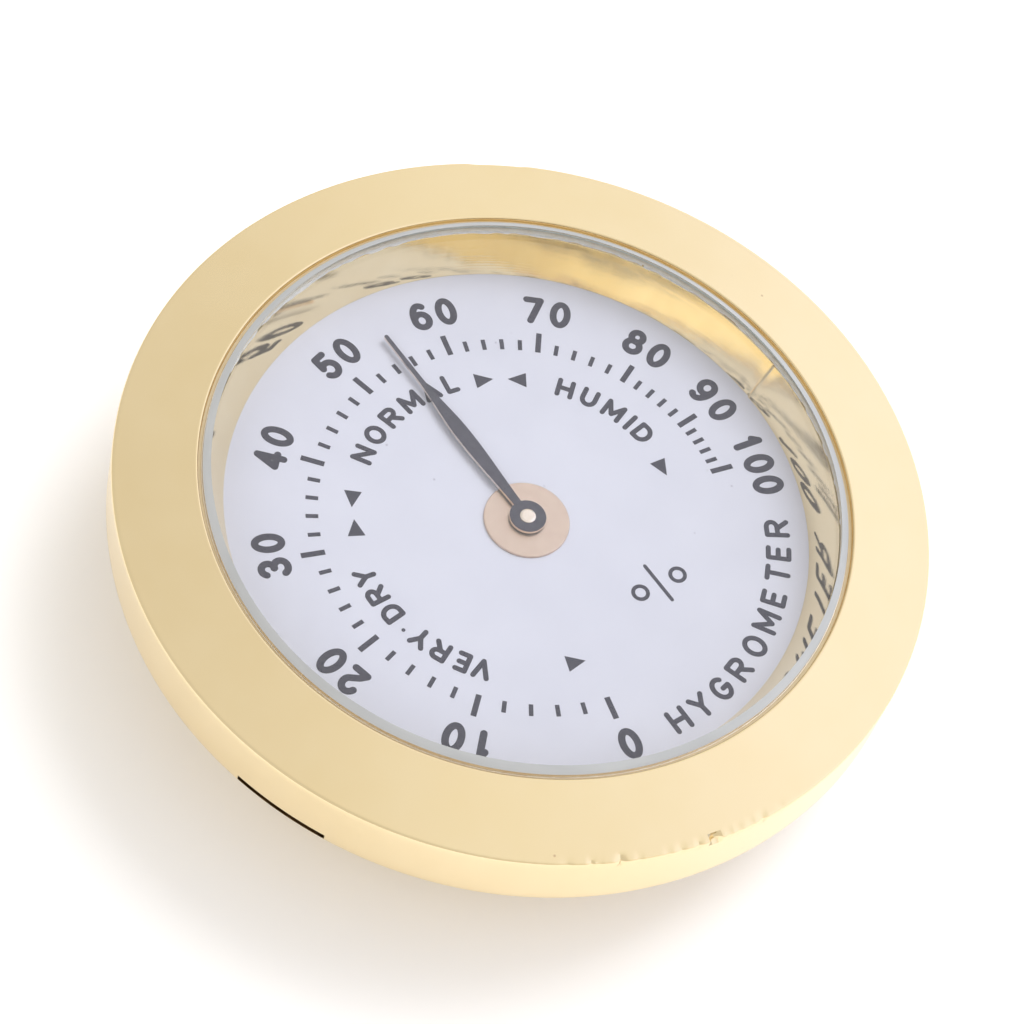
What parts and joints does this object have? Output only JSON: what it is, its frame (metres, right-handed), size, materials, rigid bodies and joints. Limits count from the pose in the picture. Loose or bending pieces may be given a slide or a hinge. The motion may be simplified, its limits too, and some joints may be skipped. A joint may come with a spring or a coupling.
{
  "type": "dial hygrometer",
  "caption": "Round flush-mount dial hygrometer: gold bezel with a flat glass over a relative humidity dial, a pointer turned by a coil, and a vented barrel behind.",
  "frame": {"origin": "on the case axis, in the plane where the flange seats on the front of a panel", "axes": "+Z out of the dial face along the case axis, +Y towards twelve o'clock on the dial, +X towards three o'clock"},
  "size_m": [0.037, 0.037, 0.0103],
  "materials": {
    "satin_gold": "satin, fine circular brushing",
    "case_gold": "plain plated, semi-bright",
    "polished_gold": "polished",
    "window_glass": "clear, ground edge",
    "clear_adhesive": "cured white adhesive",
    "dial_white": "smooth semi-matt white with grey print",
    "rose_brass": "turned and lightly polished",
    "plate_brass": "raw stamped brass",
    "steel": "turned steel",
    "coil_strip": "matt strip, metal outside and treated paper inside",
    "pointer_grey": "dark grey paint",
    "gauze_mesh": "fine woven gauze"
  },
  "bodies": {
    "case": {"bezel_ring": "satin_gold", "case_cup": "case_gold", "lens": "window_glass", "lens_adhesive": "clear_adhesive", "reflector_ring": "polished_gold", "dial_plate": "dial_white", "dial_bush": "rose_brass", "base_plate": "plate_brass", "bridge_pillars": "plate_brass", "bridge": "plate_brass", "bridge_screws": "steel", "rear_bush": "plate_brass", "friction_washer": "steel", "retaining_clip": "steel", "back_cover": "case_gold", "vent_gauze": "gauze_mesh"},
    "calibrator": {"calibration_lever": "plate_brass", "adjuster_stud": "steel", "coil_stud": "steel", "humidity_coil": "coil_strip"},
    "pointer_unit": {"coil_collet": "plate_brass", "arbor": "rose_brass", "pointer": "pointer_grey"}
  },
  "joints": [
    {"name": "calibration_turn", "type": "hinge", "parent": "case", "child": "calibrator", "pos_m": [-0.00023, -0.00039, -0.0047], "axis": [0, 0, 1], "range_deg": [-25, 25]},
    {"name": "pointer_turn", "type": "hinge", "parent": "calibrator", "child": "pointer_unit", "pos_m": [-0.00023, -0.00039, 0.00106], "axis": [0, 0, 1], "range_deg": [-103, 166], "stiffness_Nm_per_rad": 0.00002, "deforming": ["humidity_coil"]}
  ]
}
